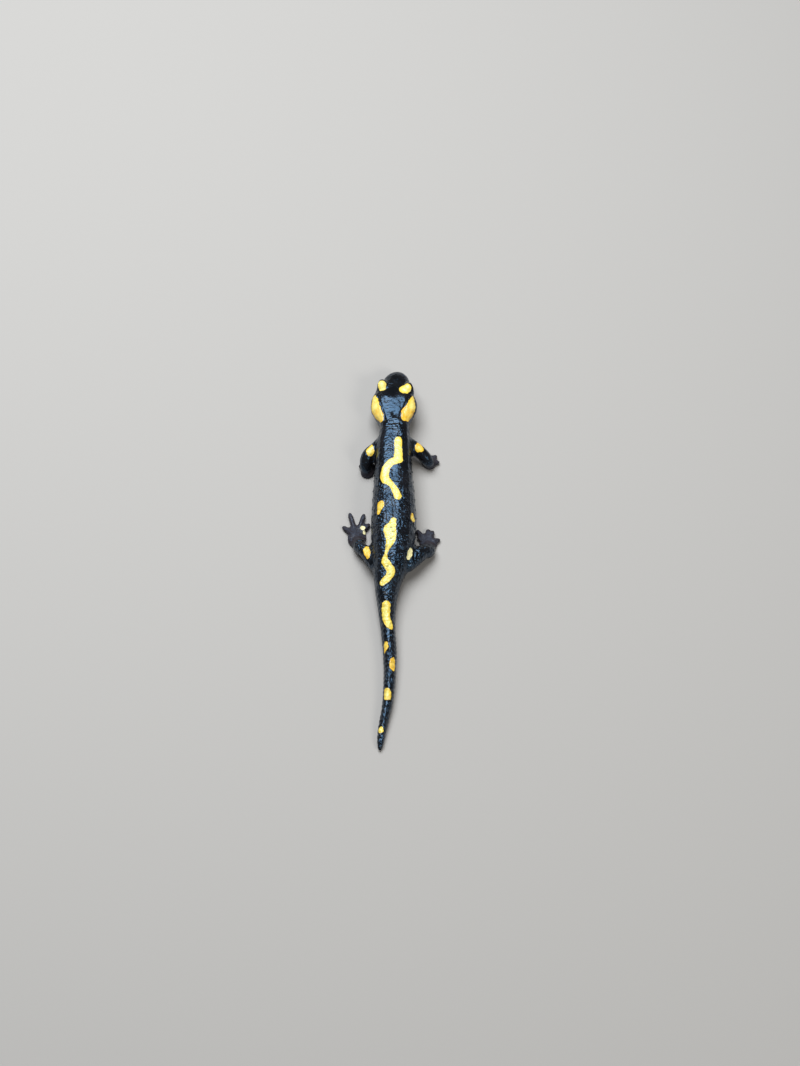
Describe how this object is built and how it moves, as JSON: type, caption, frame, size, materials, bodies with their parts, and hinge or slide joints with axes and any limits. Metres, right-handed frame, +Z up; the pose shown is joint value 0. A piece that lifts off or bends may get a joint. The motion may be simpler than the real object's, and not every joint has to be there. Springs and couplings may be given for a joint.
{
  "type": "fire salamander",
  "caption": "Life-size still model of a fire salamander lying on its belly, black with yellow blotches, head a little raised, legs spread and tail straight behind.",
  "frame": {"origin": "on the floor, under the middle of the whole animal's box", "axes": "+Y towards the head, +X to the animal's right, +Z up from the floor"},
  "size_m": [0.0411, 0.1765, 0.0157],
  "materials": {
    "skin": "moist, glossy black skin with yellow blotches",
    "eye": "polished, very dark brown"
  },
  "bodies": {
    "root": {"belly": "skin", "chest": "skin", "foot_rear_left": "skin", "foot_rear_right": "skin", "forearm_left": "skin", "forearm_right": "skin", "hand_left": "skin", "hand_right": "skin", "head": "skin", "hips": "skin", "lower_jaw": "skin", "neck": "skin", "shank_rear_left": "skin", "shank_rear_right": "skin", "tail_middle": "skin", "tail_rear": "skin", "tail_root": "skin", "tail_tip": "skin", "thigh_rear_left": "skin", "thigh_rear_right": "skin", "upper_arm_left": "skin", "upper_arm_right": "skin", "eye_left": "eye", "eye_right": "eye"}
  },
  "joints": []
}
